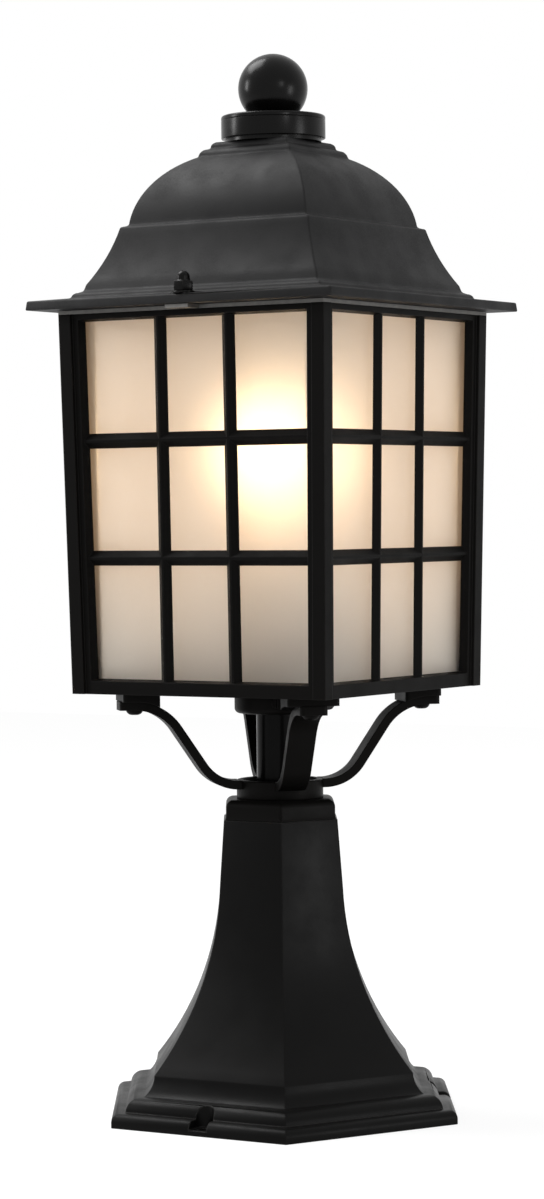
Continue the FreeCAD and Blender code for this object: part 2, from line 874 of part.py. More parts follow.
# top plate and studs
def top_plate():
    reach = roof_stud_reach + tab_past_stud
    plate = square_slab(slope_half(frame_top_z), frame_top_z, cage_top_z)
    plate = plate.fuse(block(-tab_width / 2, tab_width / 2, -reach, reach, frame_top_z, cage_top_z))
    plate = plate.cut(square_slab(top_plate_inner_half, frame_top_z - 1, cage_top_z + 1))
    for angle, place in lug_places():
        x, y = lug_point(frame_top_z - lug_thickness, angle, place)
        plate = plate.cut(countersunk(x, y, cage_top_z, frame_top_z - 1))
    for side in (-1, 1):
        y = side * roof_stud_reach
        plate = plate.cut(rod(roof_stud_radius, frame_top_z - 1, cage_top_z + 1, 0, y))
        plate = plate.cut(rod(roof_stud_head, frame_top_z - 1, frame_top_z + roof_stud_head_height, 0, y))
    return plate.removeSplitter()


def top_plate_screws():
    screws = []
    for angle, place in lug_places():
        x, y = lug_point(frame_top_z - lug_thickness, angle, place)
        screws.append(countersunk(x, y, cage_top_z, cage_top_z - frame_screw_length))
    return group(screws)


def roof_studs():
    """Studs that stand up through the eave, their heads pressed flush into the top plate's tabs."""
    studs = []
    for side in (-1, 1):
        y = side * roof_stud_reach
        head = rod(roof_stud_head, frame_top_z, frame_top_z + roof_stud_head_height, 0, y)
        shank = rod(roof_stud_radius, frame_top_z, cap_nut_z + roof_stud_above_washer, 0, y)
        studs.append(head.fuse(shank))
    return group(studs)


def cap_nut(side):
    """Domed nut on a roof stud."""
    y = side * roof_stud_reach
    corner = cap_nut_flats / math.sqrt(3)
    dome_z = cap_nut_z + cap_nut_height - cap_nut_dome_radius
    hex_top = cap_nut_z + cap_nut_hex_height
    hexed = hexagon(cap_nut_flats, cap_nut_z, hex_top, 0, y)
    cone = turned(outline((0, cap_nut_z), [
        (cap_nut_flats / 2, cap_nut_z),
        (corner, cap_nut_z + cap_nut_chamfer),
        (corner, hex_top - cap_nut_chamfer),
        (cap_nut_flats / 2, hex_top),
        (0, hex_top),
    ]))
    cone.translate(Vector(0, y, 0))
    dome = rod(cap_nut_dome_radius, cap_nut_z + 1, dome_z, 0, y)
    dome = dome.fuse(Part.makeSphere(cap_nut_dome_radius, Vector(0, y, dome_z)))
    nut = hexed.common(cone).fuse(dome)
    bore = rod(roof_stud_radius + running_gap, cap_nut_z - 1, cap_nut_z + cap_nut_bore_depth, 0, y)
    return nut.cut(bore).removeSplitter()


def roof_washers():
    washers = []
    for side in (-1, 1):
        y = side * roof_stud_reach
        top = stud_seat_z + roof_washer_thickness
        washers.append(pipe(roof_washer_radius, roof_stud_radius + seat_gap, stud_seat_z, top, 0, y))
    return group(washers)


# roof
def roof_outline():
    eave_inner = eave_half - eave_flat
    ovolo_z = eave_top_z + eave_rise + ovolo_rise
    skirt_z = ovolo_z + skirt_step_rise
    skirt_half = skirt_foot_half - skirt_foot_width
    return outline((0, eave_bottom_z), [
        (eave_half + eave_lip, eave_bottom_z),
        (eave_half, eave_top_z),
        (eave_inner, eave_top_z + eave_rise),
        (eave_inner - ovolo_width, ovolo_z, -ovolo_sag),
        (skirt_foot_half, skirt_z),
        (skirt_half, skirt_z + skirt_foot_rise),
        (dome_ledge_half, dome_foot_z - dome_ledge_drop, skirt_sag),
        (dome_foot_half, dome_foot_z),
        (dome_top_half, dome_top_z, -dome_sag),
        (crown_ledge_half, crown_ledge_z, -crown_ledge_sag),
        (crown_half, crown_shoulder_z),
        (crown_top_half, crown_top_z, -crown_sag),
        (0, crown_top_z),
    ])


def roof_hollow_outline():
    """The roof's inside, one wall's thickness in from its skirt, dome and crown."""
    wall = roof_wall
    foot_half = skirt_foot_half - skirt_foot_width - wall
    return outline((0, eave_bottom_z - 1), [
        (foot_half, eave_bottom_z - 1),
        (foot_half, eave_top_z + eave_rise + ovolo_rise),
        (dome_foot_half - wall, dome_foot_z - 2 * wall, skirt_sag),
        (dome_foot_half - wall, dome_foot_z),
        (dome_top_half - wall, dome_top_z - wall, -dome_sag),
        (crown_half - wall, crown_top_z - crown_wall),
        (0, crown_top_z - crown_wall),
    ])


def roof():
    shell = mitred(roof_outline(), 4).cut(mitred(roof_hollow_outline(), 4))
    for side in (-1, 1):
        y = side * roof_stud_reach
        spot = rod(roof_washer_radius + bolt_gap, stud_seat_z, stud_seat_z + 10, 0, y)
        hole = rod(roof_stud_radius + seat_gap, eave_bottom_z - 1, stud_seat_z + 1, 0, y)
        shell = shell.cut(spot.fuse(hole))
    return shell.cut(rod(finial_stud_radius + bolt_gap, dome_top_z, crown_top_z + 1)).removeSplitter()


# finial
def finial_collar():
    step_z = crown_top_z + collar_neck_height
    top = collar_top_z
    quarter_sag = 1 - math.cos(math.radians(45))
    face = outline((finial_stud_radius + bolt_gap, crown_top_z), [
        (collar_neck_radius, crown_top_z),
        (collar_neck_radius, step_z),
        (collar_radius - collar_foot_round, step_z),
        (collar_radius, step_z + collar_foot_round, -collar_foot_round * quarter_sag),
        (collar_radius, top - collar_round),
        (collar_radius - collar_round, top, -collar_round * quarter_sag),
        (finial_stud_radius + bolt_gap, top),
    ])
    return turned(face)


def finial_ball():
    low = collar_top_z + seat_gap
    ball = Part.makeSphere(ball_radius, Vector(0, 0, ball_centre_z))
    ball = ball.common(rod(2 * ball_radius, low, ball_centre_z + 2 * ball_radius))
    depth = collar_top_z + finial_stud_in_ball + finial_bore_spare
    return ball.cut(rod(finial_stud_radius + running_gap, low - 1, depth))


def finial_stud():
    nut_low = crown_top_z - crown_wall - washer_thickness - finial_nut_height
    low = nut_low - finial_stud_below_nut
    return rod(finial_stud_radius, low, collar_top_z + finial_stud_in_ball)


def finial_washer():
    top = crown_top_z - crown_wall
    return pipe(finial_washer_radius, finial_stud_radius + bolt_gap, top - washer_thickness, top)


def finial_nut():
    top = crown_top_z - crown_wall - washer_thickness
    return chamfered_nut(finial_nut_flats, finial_stud_radius, top - finial_nut_height, top)


# lampholder and bulb
def holder_bracket():
    """Bent strip that bridges the stem's nut and carries the lampholder."""
    half = bracket_span / 2
    bridge = block(-half, half, -bracket_width / 2, bracket_width / 2, tray_top_z, bracket_top_z)
    inner = half - bracket_strip
    under = bracket_top_z - bracket_strip
    bridge = bridge.cut(block(-inner, inner, -bracket_width, bracket_width, tray_top_z - 1, under))
    for side in (-1, 1):
        near = side * (half - bracket_strip)
        far = side * (half + bracket_foot)
        low, high = sorted((near, far))
        top = tray_top_z + bracket_strip
        leg = block(low, high, -bracket_width / 2, bracket_width / 2, tray_top_z, top)
        x = side * (half + bracket_foot / 2)
        hole = rod(bracket_screw_radius + bolt_gap, tray_top_z - 1, top + 1, x, 0)
        bridge = bridge.fuse(leg).cut(hole)
    return bridge.cut(rod(bracket_hole, tray_top_z, bracket_top_z + 1)).removeSplitter()


def bracket_screws():
    screws = []
    for side in (-1, 1):
        x = side * (bracket_span + bracket_foot) / 2
        seat = tray_top_z + bracket_strip
        top = seat + bracket_screw_head_height
        half = bracket_screw_slot_width / 2
        reach = 2 * bracket_screw_head
        head = rod(bracket_screw_head, seat, top, x, 0)
        head = round_edges(head, bracket_screw_head_round, lambda edge: is_level(edge, top))
        head = head.cut(block(x - reach, x + reach, -half, half, top - bracket_screw_slot_depth, top + 1))
        low = cage_bottom_z - bracket_screw_past_tray
        screws.append(head.fuse(rod(bracket_screw_radius, low, seat, x, 0)))
    return group(screws)


def lampholder():
    """Porcelain body with an open socket above and a blind passage for each lead below."""
    waist = holder_radius - holder_shoulder
    face = outline((0, bracket_top_z), [
        (waist, bracket_top_z),
        (holder_radius, bracket_top_z + holder_shoulder, -holder_shoulder_sag),
        (holder_radius, socket_floor_z),
        (waist, socket_floor_z + holder_shoulder),
        (waist, holder_top_z - holder_mouth_round),
        (waist - holder_mouth_round, holder_top_z, -holder_mouth_sag),
        (0, holder_top_z),
    ])
    body = turned(face)
    socket = socket_radius + shell_thickness + running_gap
    body = body.cut(rod(socket, socket_floor_z, holder_top_z + 1))
    for side in (-1, 1):
        top = bracket_top_z + holder_passage_depth
        body = body.cut(rod(wire_radius + bolt_gap, bracket_top_z - 1, top, side * wire_spacing / 2, 0))
    return body


def contact_shell():
    """Brass screw shell that lines the socket."""
    outer = socket_radius + shell_thickness
    return pipe(outer, socket_radius, socket_floor_z, socket_floor_z + shell_height)


def centre_contact():
    base = rod(contact_radius, socket_floor_z, socket_floor_z + contact_height / 2)
    return base.fuse(rod(contact_radius / 2, socket_floor_z, socket_floor_z + contact_height))


def bulb_cap():
    """Screw cap of the bulb, with its insulated tip."""
    face = outline((0, bulb_base_z), [
        (bulb_cap_tip_radius, bulb_base_z),
        (bulb_cap_radius - bulb_cap_edge, bulb_cap_z),
        (bulb_cap_radius, bulb_cap_z + bulb_cap_edge),
        (bulb_cap_radius, bulb_neck_z),
        (0, bulb_neck_z),
    ])
    return turned(face)


def bulb_globe():
    """Pear-shaped glass envelope, open at the neck."""
    centre_z = bulb_neck_z + bulb_globe_rise

    def neck_to_pole(radius, neck, low):
        middle_radius = (neck + radius) / 2
        meet_z = centre_z - radius * bulb_shoulder_drop
        meet_r = radius * math.sqrt(1 - bulb_shoulder_drop ** 2)
        return [(neck, low), (meet_r, meet_z, middle_radius * bulb_neck_hollow)], meet_r, meet_z

    outer, outer_r, outer_z = neck_to_pole(bulb_globe_radius, bulb_neck_radius, bulb_neck_z)
    inner_radius = bulb_globe_radius - bulb_wall
    inner, inner_r, inner_z = neck_to_pole(inner_radius, bulb_neck_radius - bulb_wall, bulb_neck_z)
    outside = sphere_cap_sag(bulb_globe_radius, outer_r, outer_z, centre_z)
    inside = sphere_cap_sag(inner_radius, inner_r, inner_z, centre_z)
    start = inner[0]
    inner_sag = inner[1][2]
    return turned(outline(start, [
        outer[0],
        outer[1],
        (0, centre_z + bulb_globe_radius, -outside),
        (0, centre_z + inner_radius),
        (inner_r, inner_z, inside),
        (start[0], start[1], -inner_sag),
    ]))


def sphere_cap_sag(radius, ring_radius, ring_z, centre_z):
    """Sag of the arc from a ring on the sphere up to its pole."""
    chord = math.hypot(ring_radius, centre_z + radius - ring_z)
    below = ring_z < centre_z + radius - math.sqrt(2) * radius
    depth = math.sqrt(radius ** 2 - (chord / 2) ** 2)
    return radius + depth if below and chord / 2 > radius else radius - depth


def bulb_stem():
    """Glass mount that carries the filaments."""
    foot_radius = bulb_neck_radius - bulb_wall - stem_glass_gap
    foot_part = rod(foot_radius, bulb_neck_z, bulb_neck_z + stem_glass_foot)
    return foot_part.fuse(rod(stem_glass_radius, bulb_neck_z, bulb_neck_z + stem_glass_height))


def bulb_filaments():
    """Upright light filaments standing in a ring on the mount."""
    low = bulb_neck_z + stem_glass_height
    plate_top = low + filament_plate
    rods = [rod(filament_circle + 2 * filament_radius, low, plate_top)]
    for step in range(filament_count):
        angle = 2 * math.pi * step / filament_count
        x = filament_circle * math.cos(angle)
        y = filament_circle * math.sin(angle)
        rods.append(rod(filament_radius, plate_top, plate_top + filament_length, x, y))
    return rods[0].fuse(rods[1:])


def terminal_block():
    half = block_length / 2
    low = block_offset - block_width / 2
    high = block_offset + block_width / 2
    body = block(-half, half, low, high, tray_top_z, tray_top_z + block_height)
    body = round_edges(body, block_round, is_vertical)
    top = tray_top_z + block_height
    for side in (-1, 1):
        x = side * wire_spacing / 2
        recess = top - block_screw_sunk - block_screw_length
        body = body.cut(rod(block_screw_radius, recess, top + 1, x, block_offset))
        start = Vector(x, low - 1, wire_z())
        mouth = Part.makeCylinder(wire_radius + bolt_gap, block_mouth_depth + 1, start, Vector(0, 1, 0))
        body = body.cut(mouth)
    return body


def terminal_screws():
    screws = []
    for side in (-1, 1):
        x = side * wire_spacing / 2
        top = tray_top_z + block_height - block_screw_sunk
        screw = rod(block_screw_radius, top - block_screw_length, top, x, block_offset)
        reach = 2 * block_screw_radius
        near = block_offset - block_screw_slot_width / 2
        far = block_offset + block_screw_slot_width / 2
        slot = block(x - reach, x + reach, near, far, top - block_screw_slot_depth, top + 1)
        screws.append(screw.cut(slot))
    return group(screws)


def wire_z():
    """Height at which the leads cross to the lampholder, clear above the stem's grommet."""
    return stem_top_z + grommet_lip + wire_radius + wire_above_grommet


def lead_wires():
    """Two insulated leads from the terminal block up into the lampholder."""
    wires = []
    for side in (-1, 1):
        x = side * wire_spacing / 2
        start = Vector(x, block_offset - block_width / 2 + wire_in_block, wire_z())
        corner = Vector(x, 0, wire_z())
        end = Vector(x, 0, bracket_top_z + wire_in_holder)
        before = corner.add(Vector(0, wire_bend, 0))
        after = corner.add(Vector(0, 0, wire_bend))
        middle = corner.add(Vector(0, wire_bend, wire_bend))
        middle = middle.sub(Vector(0, wire_bend, wire_bend).multiply(math.sqrt(0.5)))
        edges = [
            Part.LineSegment(start, before).toShape(),
            Part.Arc(before, middle, after).toShape(),
            Part.LineSegment(after, end).toShape(),
        ]
        section = Part.Wire(Part.makeCircle(wire_radius, start, Vector(0, -1, 0)))
        wires.append(Part.Wire(edges).makePipeShell([section], True, False))
    return group(wires)


# writing the pieces
def pieces():
    """Every node's name with its shape."""
    made = {
        "pedestal": pedestal(),
        "pedestal_cap": pedestal_cap(),
        "stem_tube": stem_tube(),
        "stem_nut_lower": stem_nut_lower(),
        "stem_washer": stem_washer(),
        "stem_nut_upper": stem_nut_upper(),
        "tube_grommet": tube_grommet(),
        "hub_ring": hub_ring(),
        "arm_screws": arm_screws(),
        "arm_nuts": arm_nuts(),
        "floor_tray": floor_tray(),
        "stem_cup": stem_cup(),
        "cup_screw": cup_screw(),
        "tray_screws": tray_screws(),
        "top_plate": top_plate(),
        "top_plate_screws": top_plate_screws(),
        "roof_studs": roof_studs(),
        "cap_nut_front": cap_nut(-1),
        "cap_nut_back": cap_nut(1),
        "roof_washers": roof_washers(),
        "roof": roof(),
        "finial_collar": finial_collar(),
        "finial_ball": finial_ball(),
        "finial_stud": finial_stud(),
        "finial_washer": finial_washer(),
        "finial_nut": finial_nut(),
        "holder_bracket": holder_bracket(),
        "bracket_screws": bracket_screws(),
        "lampholder": lampholder(),
        "contact_shell": contact_shell(),
        "centre_contact": centre_contact(),
        "bulb_cap": bulb_cap(),
        "bulb_globe": bulb_globe(),
        "bulb_stem": bulb_stem(),
        "bulb_filaments": bulb_filaments(),
        "terminal_block": terminal_block(),
        "terminal_screws": terminal_screws(),
        "lead_wires": lead_wires(),
    }
    frame = side_frame()
    pane = glass_pane()
    angle = corner_angle()
    for step, side in enumerate(("front", "right", "back", "left")):
        made["arm_" + side] = arm(-45 + 90 * step)
        made["side_frame_" + side] = rotated(frame, 90 * step)
        made["glass_pane_" + side] = rotated(pane, 90 * step)
        made["corner_angle_" + side] = rotated(angle, 90 * step)
    return made


os.makedirs("parts", exist_ok=True)
for node, shape in pieces().items():
    shape.exportStep(os.path.join("parts", node + ".step"))
    state = "valid" if shape.isValid() else "NOT VALID"
    print(node, len(shape.Solids), "solid", state, round(shape.Volume), "mm3")
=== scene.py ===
import math
import bpy
from mathutils import Matrix, Vector


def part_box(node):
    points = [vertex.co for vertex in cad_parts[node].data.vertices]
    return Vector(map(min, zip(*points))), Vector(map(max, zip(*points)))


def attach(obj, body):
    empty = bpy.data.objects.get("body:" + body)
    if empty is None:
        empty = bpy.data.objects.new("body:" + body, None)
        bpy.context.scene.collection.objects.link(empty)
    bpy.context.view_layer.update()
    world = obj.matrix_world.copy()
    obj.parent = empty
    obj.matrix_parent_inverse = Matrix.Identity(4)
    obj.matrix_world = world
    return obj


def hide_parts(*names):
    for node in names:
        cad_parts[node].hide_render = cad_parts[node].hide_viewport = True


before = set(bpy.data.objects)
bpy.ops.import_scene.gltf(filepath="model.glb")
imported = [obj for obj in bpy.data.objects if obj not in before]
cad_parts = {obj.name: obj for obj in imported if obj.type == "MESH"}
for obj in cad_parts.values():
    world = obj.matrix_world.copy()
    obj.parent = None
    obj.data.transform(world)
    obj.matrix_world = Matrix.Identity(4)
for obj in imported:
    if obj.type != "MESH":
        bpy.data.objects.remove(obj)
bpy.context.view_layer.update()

mm = 0.001
print("frame loaded,", len(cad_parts), "nodes")


def selectOnly(piece):
    bpy.ops.object.select_all(action="DESELECT")
    piece.select_set(True)
    bpy.context.view_layer.objects.active = piece


def editStart(piece, mode="EDGE"):
    selectOnly(piece)
    bpy.ops.object.mode_set(mode="EDIT")
    bpy.ops.mesh.select_mode(type=mode)


def editDone():
    bpy.ops.object.mode_set(mode="OBJECT")


def applyModifier(piece, kind, **settings):
    modifier = piece.modifiers.new(kind.lower(), kind)
    for name, value in settings.items():
        setattr(modifier, name, value)
    selectOnly(piece)
    bpy.ops.object.modifier_apply(modifier=modifier.name)


def smoothShade(piece, degrees=35):
    selectOnly(piece)
    bpy.ops.object.shade_smooth_by_angle(angle=math.radians(degrees))


def copyTurned(piece, name, degrees):
    twin = piece.copy()
    twin.data = piece.data.copy()
    twin.name = name
    bpy.context.scene.collection.objects.link(twin)
    twin.data.transform(Matrix.Rotation(math.radians(degrees), 4, "Z"))
    return twin


meltSettings = {
    "weld": 0.002,           # mm between points that are one corner
    "flat": 0.3,             # degrees within which triangles are one face
    "segments": 3,
    "sharp": 28,             # degrees from which an edge is rounded
}


def meltedCopy(nodeName, name, width):
    # a solid's loose triangles are merged into clean faces, then every sharp edge is rounded
    piece = bpy.data.objects.new(name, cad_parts[nodeName].data.copy())
    bpy.context.scene.collection.objects.link(piece)
    piece.data.materials.clear()
    editStart(piece, "VERT")
    bpy.ops.mesh.select_all(action="SELECT")
    bpy.ops.mesh.customdata_custom_splitnormals_clear()
    bpy.ops.mesh.remove_doubles(threshold=meltSettings["weld"] * mm)
    bpy.ops.mesh.dissolve_limited(angle_limit=math.radians(meltSettings["flat"]))
    editDone()
    applyModifier(piece, "BEVEL", width=width * mm, segments=meltSettings["segments"], limit_method="ANGLE",
                  angle_limit=math.radians(meltSettings["sharp"]), use_clamp_overlap=False)
    # a round that overshoots a narrow face is held inside the solid's box
    low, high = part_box(nodeName)
    for vertex in piece.data.vertices:
        vertex.co = [min(max(place, least), most) for place, least, most in zip(vertex.co, low, high)]
    smoothShade(piece)
    return piece


latheSettings = {
    "seed": 0.001,           # metres, the plane that becomes the first corner
    "weld": 0.001,           # mm
    "nearPole": 89.9,        # degrees, where an arc stops short of the axis
}


def lathed(name, points, steps, degrees=30):
    # a single corner is drawn out along the profile (radius and height in mm), then spun round Z
    bpy.ops.object.select_all(action="DESELECT")
    bpy.ops.mesh.primitive_plane_add(size=latheSettings["seed"], location=(0, 0, 0))
    piece = bpy.context.object
    piece.name = name
    editStart(piece, "VERT")
    bpy.ops.mesh.select_all(action="SELECT")
    bpy.ops.mesh.merge(type="CENTER")
    here = Vector((0, 0, 0))
    for step, (radius, height) in enumerate(points):
        there = Vector((radius * mm, 0, height * mm))
        if step == 0:
            bpy.ops.transform.translate(value=there - here)
        else:
            bpy.ops.mesh.extrude_region_move(TRANSFORM_OT_translate={"value": there - here})
        here = there
    bpy.ops.mesh.select_all(action="SELECT")
    bpy.ops.mesh.spin(steps=steps, angle=math.radians(360), center=(0, 0, 0), axis=(0, 0, 1))
    bpy.ops.mesh.select_all(action="SELECT")
    bpy.ops.mesh.remove_doubles(threshold=latheSettings["weld"] * mm)
    bpy.ops.mesh.normals_make_consistent(inside=False)
    editDone()
    smoothShade(piece, degrees)
    return piece


def arcPoints(middleRadius, middleHeight, radius, first, last, count):
    # points round an arc, its ends in degrees up from the outward direction
    points = []
    for step in range(count + 1):
        angle = math.radians(first + (last - first) * step / count)
        points.append((middleRadius + radius * math.cos(angle), middleHeight + radius * math.sin(angle)))
    return points


def joined(pieces, name):
    selectOnly(pieces[0])
    for piece in pieces[1:]:
        piece.select_set(True)
    bpy.ops.object.join()
    pieces[0].name = name
    return pieces[0]


def newGroup(name, inputs, outputs):
    group = bpy.data.node_groups.new(name, "ShaderNodeTree")
    for socketName, kind, value in inputs:
        socket = group.interface.new_socket(socketName, in_out="INPUT", socket_type=kind)
        if value is not None:
            socket.default_value = value
    for socketName, kind in outputs:
        group.interface.new_socket(socketName, in_out="OUTPUT", socket_type=kind)
    return group, group.nodes.new("NodeGroupInput"), group.nodes.new("NodeGroupOutput")


def node(tree, kind, links=(), **values):
    # one node, its settings or unlinked inputs by name, and what feeds its inputs
    made = tree.nodes.new(kind)
    for name, value in values.items():
        if name in made.inputs:
            made.inputs[name].default_value = value
        else:
            setattr(made, name, value)
    for socket, source in links:
        tree.links.new(source, made.inputs[socket])
    return made


def objectPoint(tree):
    return node(tree, "ShaderNodeTexCoord").outputs["Object"]


wearSettings = {
    "peelDetail": 3.0, "peelRoughness": 0.6, "waveDetail": 2.0, "waveRoughness": 0.5,
    "edgeMarkStart": 0.02, "edgeMarkFull": 0.12, "patchScale": 90.0, "patchDetail": 4.0,
    "dustUp": 0.2, "cloudScale": 35.0, "cloudDetail": 5.0,
    "speckle": (0.15, 0.4),  # the speckle mask's usual least and most
    "bevelSamples": 6,
    "paintDepth": 0.4,       # mm
}


def buildPowderGrain():
    # fine orange peel of powder paint over the slow waves of a sand casting
    group, given, result = newGroup(
        "powderGrain",
        [("Peel Scale", "NodeSocketFloat", 1400.0), ("Wave Scale", "NodeSocketFloat", 60.0),
         ("Wave Share", "NodeSocketFloat", 0.5)],
        [("Height", "NodeSocketFloat"), ("Speckle", "NodeSocketFloat")])
    point = objectPoint(group)
    peel = node(group, "ShaderNodeTexNoise", [("Vector", point), ("Scale", given.outputs["Peel Scale"])],
                Detail=wearSettings["peelDetail"], Roughness=wearSettings["peelRoughness"])
    wave = node(group, "ShaderNodeTexNoise", [("Vector", point), ("Scale", given.outputs["Wave Scale"])],
                Detail=wearSettings["waveDetail"], Roughness=wearSettings["waveRoughness"])
    height = node(group, "ShaderNodeMix", [(0, given.outputs["Wave Share"]), (2, peel.outputs[0]),
                                           (3, wave.outputs[0])], data_type="FLOAT")
    speckle = node(group, "ShaderNodeMath", [(0, peel.outputs[0]), (1, wave.outputs[0])],
                   operation="MULTIPLY")
    group.links.new(height.outputs[0], result.inputs["Height"])
    group.links.new(speckle.outputs[0], result.inputs["Speckle"])
    return group


def buildEdgeWearAndHighlight():
    # paint worn thin along edges, and a highlight painted along them, where the rounded normal leaves the
    # face's own
    group, given, result = newGroup(
        "edgeWearAndHighlight",
        [("Rounded", "NodeSocketVector", (0, 0, 1)),
         ("Start", "NodeSocketFloat", wearSettings["edgeMarkStart"]),
         ("Full", "NodeSocketFloat", wearSettings["edgeMarkFull"])],
        [("Wear And Highlight", "NodeSocketFloat")])
    face = node(group, "ShaderNodeNewGeometry").outputs["Normal"]
    match = node(group, "ShaderNodeVectorMath", [(0, face), (1, given.outputs["Rounded"])],
                 operation="DOT_PRODUCT")
    bend = node(group, "ShaderNodeMath", [(1, match.outputs["Value"])], operation="SUBTRACT")
    bend.inputs[0].default_value = 1.0
    ramp = node(group, "ShaderNodeMapRange", [("Value", bend.outputs[0]),
                                              ("From Min", given.outputs["Start"]),
                                              ("From Max", given.outputs["Full"])])
    patch = node(group, "ShaderNodeTexNoise", [("Vector", objectPoint(group))],
                 Scale=wearSettings["patchScale"], Detail=wearSettings["patchDetail"])
    rubAndHighlight = node(group, "ShaderNodeMath", [(0, ramp.outputs[0]), (1, patch.outputs[0])], operation="MULTIPLY")
    group.links.new(rubAndHighlight.outputs[0], result.inputs["Wear And Highlight"])
    return group


def buildDustFilm():
    # pale dust that has settled on what faces up
    group, given, result = newGroup(
        "dustFilm", [("Amount", "NodeSocketFloat", 0.3)], [("Dust", "NodeSocketFloat")])
    normal = node(group, "ShaderNodeNewGeometry").outputs["Normal"]
    up = node(group, "ShaderNodeSeparateXYZ", [("Vector", normal)]).outputs["Z"]
    facing = node(group, "ShaderNodeMapRange", [("Value", up)],
                  **{"From Min": wearSettings["dustUp"], "From Max": 1.0})
    cloud = node(group, "ShaderNodeTexNoise", [("Vector", objectPoint(group))],
                 Scale=wearSettings["cloudScale"], Detail=wearSettings["cloudDetail"])
    settled = node(group, "ShaderNodeMath", [(0, facing.outputs[0]), (1, cloud.outputs[0])],
                   operation="MULTIPLY")
    film = node(group, "ShaderNodeMath", [(0, settled.outputs[0]), (1, given.outputs["Amount"])],
                operation="MULTIPLY")
    group.links.new(film.outputs[0], result.inputs["Dust"])
    return group


powderGrain = buildPowderGrain()
edgeWearAndHighlight = buildEdgeWearAndHighlight()
dustFilm = buildDustFilm()


def newFinish(name, **shader):
    material = bpy.data.materials.new(name)
    material.use_nodes = True
    tree = material.node_tree
    skin = tree.nodes["Principled BSDF"]
    for socket, value in shader.items():
        skin.inputs[socket].default_value = value
    return material, tree, skin


def grouped(tree, group, **values):
    made = tree.nodes.new("ShaderNodeGroup")
    made.node_tree = group
    for name, value in values.items():
        made.inputs[name].default_value = value
    return made


def blend(tree, mask, start, end):
    # from one colour to another as the mask rises
    made = node(tree, "ShaderNodeMix", [(0, mask)], data_type="RGBA")
    made.inputs[6].default_value = (*start, 1)
    made.inputs[7].default_value = (*end, 1)
    return made


def roughen(tree, skin, mask, rough, span=(0.0, 1.0)):
    made = node(tree, "ShaderNodeMapRange", [("Value", mask)],
                **{"From Min": span[0], "From Max": span[1], "To Min": rough[0], "To Max": rough[1]})
    tree.links.new(made.outputs[0], skin.inputs["Roughness"])


# each finish's edge colour stands for paint worn thin and for a painted highlight along the edge
paintSettings = {
    "pedestalBlack": {"paint": (0.0024, 0.0023, 0.0022), "wornEdgeAndHighlight": (0.120, 0.115, 0.110),
                      "dust": (0.060, 0.059, 0.058), "dustAmount": 0.10, "rough": (0.34, 0.48),
                      "gloss": 0.07, "bump": 0.13, "peel": 1300.0, "wave": 60.0,
                      "waveShare": 0.35, "edge": 1.1},
    "castBlack": {"paint": (0.0026, 0.0023, 0.0020), "wornEdgeAndHighlight": (0.020, 0.019, 0.018),
                  "dust": (0.050, 0.049, 0.047), "dustAmount": 0.08, "rough": (0.40, 0.54),
                  "gloss": 0.05, "bump": 0.10, "peel": 1500.0, "wave": 70.0,
                  "waveShare": 0.35, "edge": 0.8},
    "roofBlack": {"paint": (0.0110, 0.0109, 0.0112), "wornEdgeAndHighlight": (0.085, 0.080, 0.076),
                  "dust": (0.070, 0.069, 0.070), "dustAmount": 0.14, "rough": (0.52, 0.68),
                  "gloss": 0.14, "bump": 0.16, "peel": 1300.0, "wave": 60.0,
                  "waveShare": 0.4, "edge": 1.4},
    "tubeBlack": {"paint": (0.004, 0.004, 0.004), "wornEdgeAndHighlight": (0.02, 0.02, 0.02),
                  "dust": (0.10, 0.098, 0.094), "dustAmount": 0.05, "rough": (0.16, 0.24),
                  "gloss": 0.05, "bump": 0.03, "peel": 1800.0, "wave": 120.0,
                  "waveShare": 0.2, "edge": 0.3},
    "nutBlack": {"paint": (0.0030, 0.0028, 0.0026), "wornEdgeAndHighlight": (0.10, 0.098, 0.094),
                 "dust": (0.10, 0.098, 0.094), "dustAmount": 0.05, "rough": (0.18, 0.30),
                 "gloss": 0.10, "bump": 0.05, "peel": 1600.0, "wave": 90.0,
                 "waveShare": 0.5, "edge": 0.3},
    "glossBlack": {"paint": (0.0022, 0.0021, 0.0020), "wornEdgeAndHighlight": (0.015, 0.015, 0.015),
                   "dust": (0.10, 0.098, 0.094), "dustAmount": 0.06, "rough": (0.22, 0.34),
                   "gloss": 0.12, "bump": 0.02, "peel": 1600.0, "wave": 90.0,
                   "waveShare": 0.5, "edge": 0.3},
}


def paintedFinish(name):
    look = paintSettings[name]
    material, tree, skin = newFinish(name, **{"Specular IOR Level": look["gloss"]})
    grain = grouped(tree, powderGrain, **{"Peel Scale": look["peel"], "Wave Scale": look["wave"],
                                          "Wave Share": look["waveShare"]})
    edge = node(tree, "ShaderNodeBevel", Radius=look["edge"] * mm, samples=wearSettings["bevelSamples"])
    rubAndHighlight = grouped(tree, edgeWearAndHighlight)
    tree.links.new(edge.outputs[0], rubAndHighlight.inputs["Rounded"])
    dust = grouped(tree, dustFilm, Amount=look["dustAmount"])
    # edges lightened: worn paint and a painted highlight line
    wornAndLit = blend(tree, rubAndHighlight.outputs["Wear And Highlight"], look["paint"], look["wornEdgeAndHighlight"])
    dusty = node(tree, "ShaderNodeMix", [(0, dust.outputs["Dust"]), (6, wornAndLit.outputs[2])], data_type="RGBA")
    dusty.inputs[7].default_value = (*look["dust"], 1)
    tree.links.new(dusty.outputs[2], skin.inputs["Base Color"])
    roughen(tree, skin, grain.outputs["Speckle"], look["rough"], wearSettings["speckle"])
    bump = node(tree, "ShaderNodeBump", [("Height", grain.outputs["Height"]), ("Normal", edge.outputs[0])],
                Strength=look["bump"], Distance=wearSettings["paintDepth"] * mm)
    tree.links.new(bump.outputs[0], skin.inputs["Normal"])
    return material


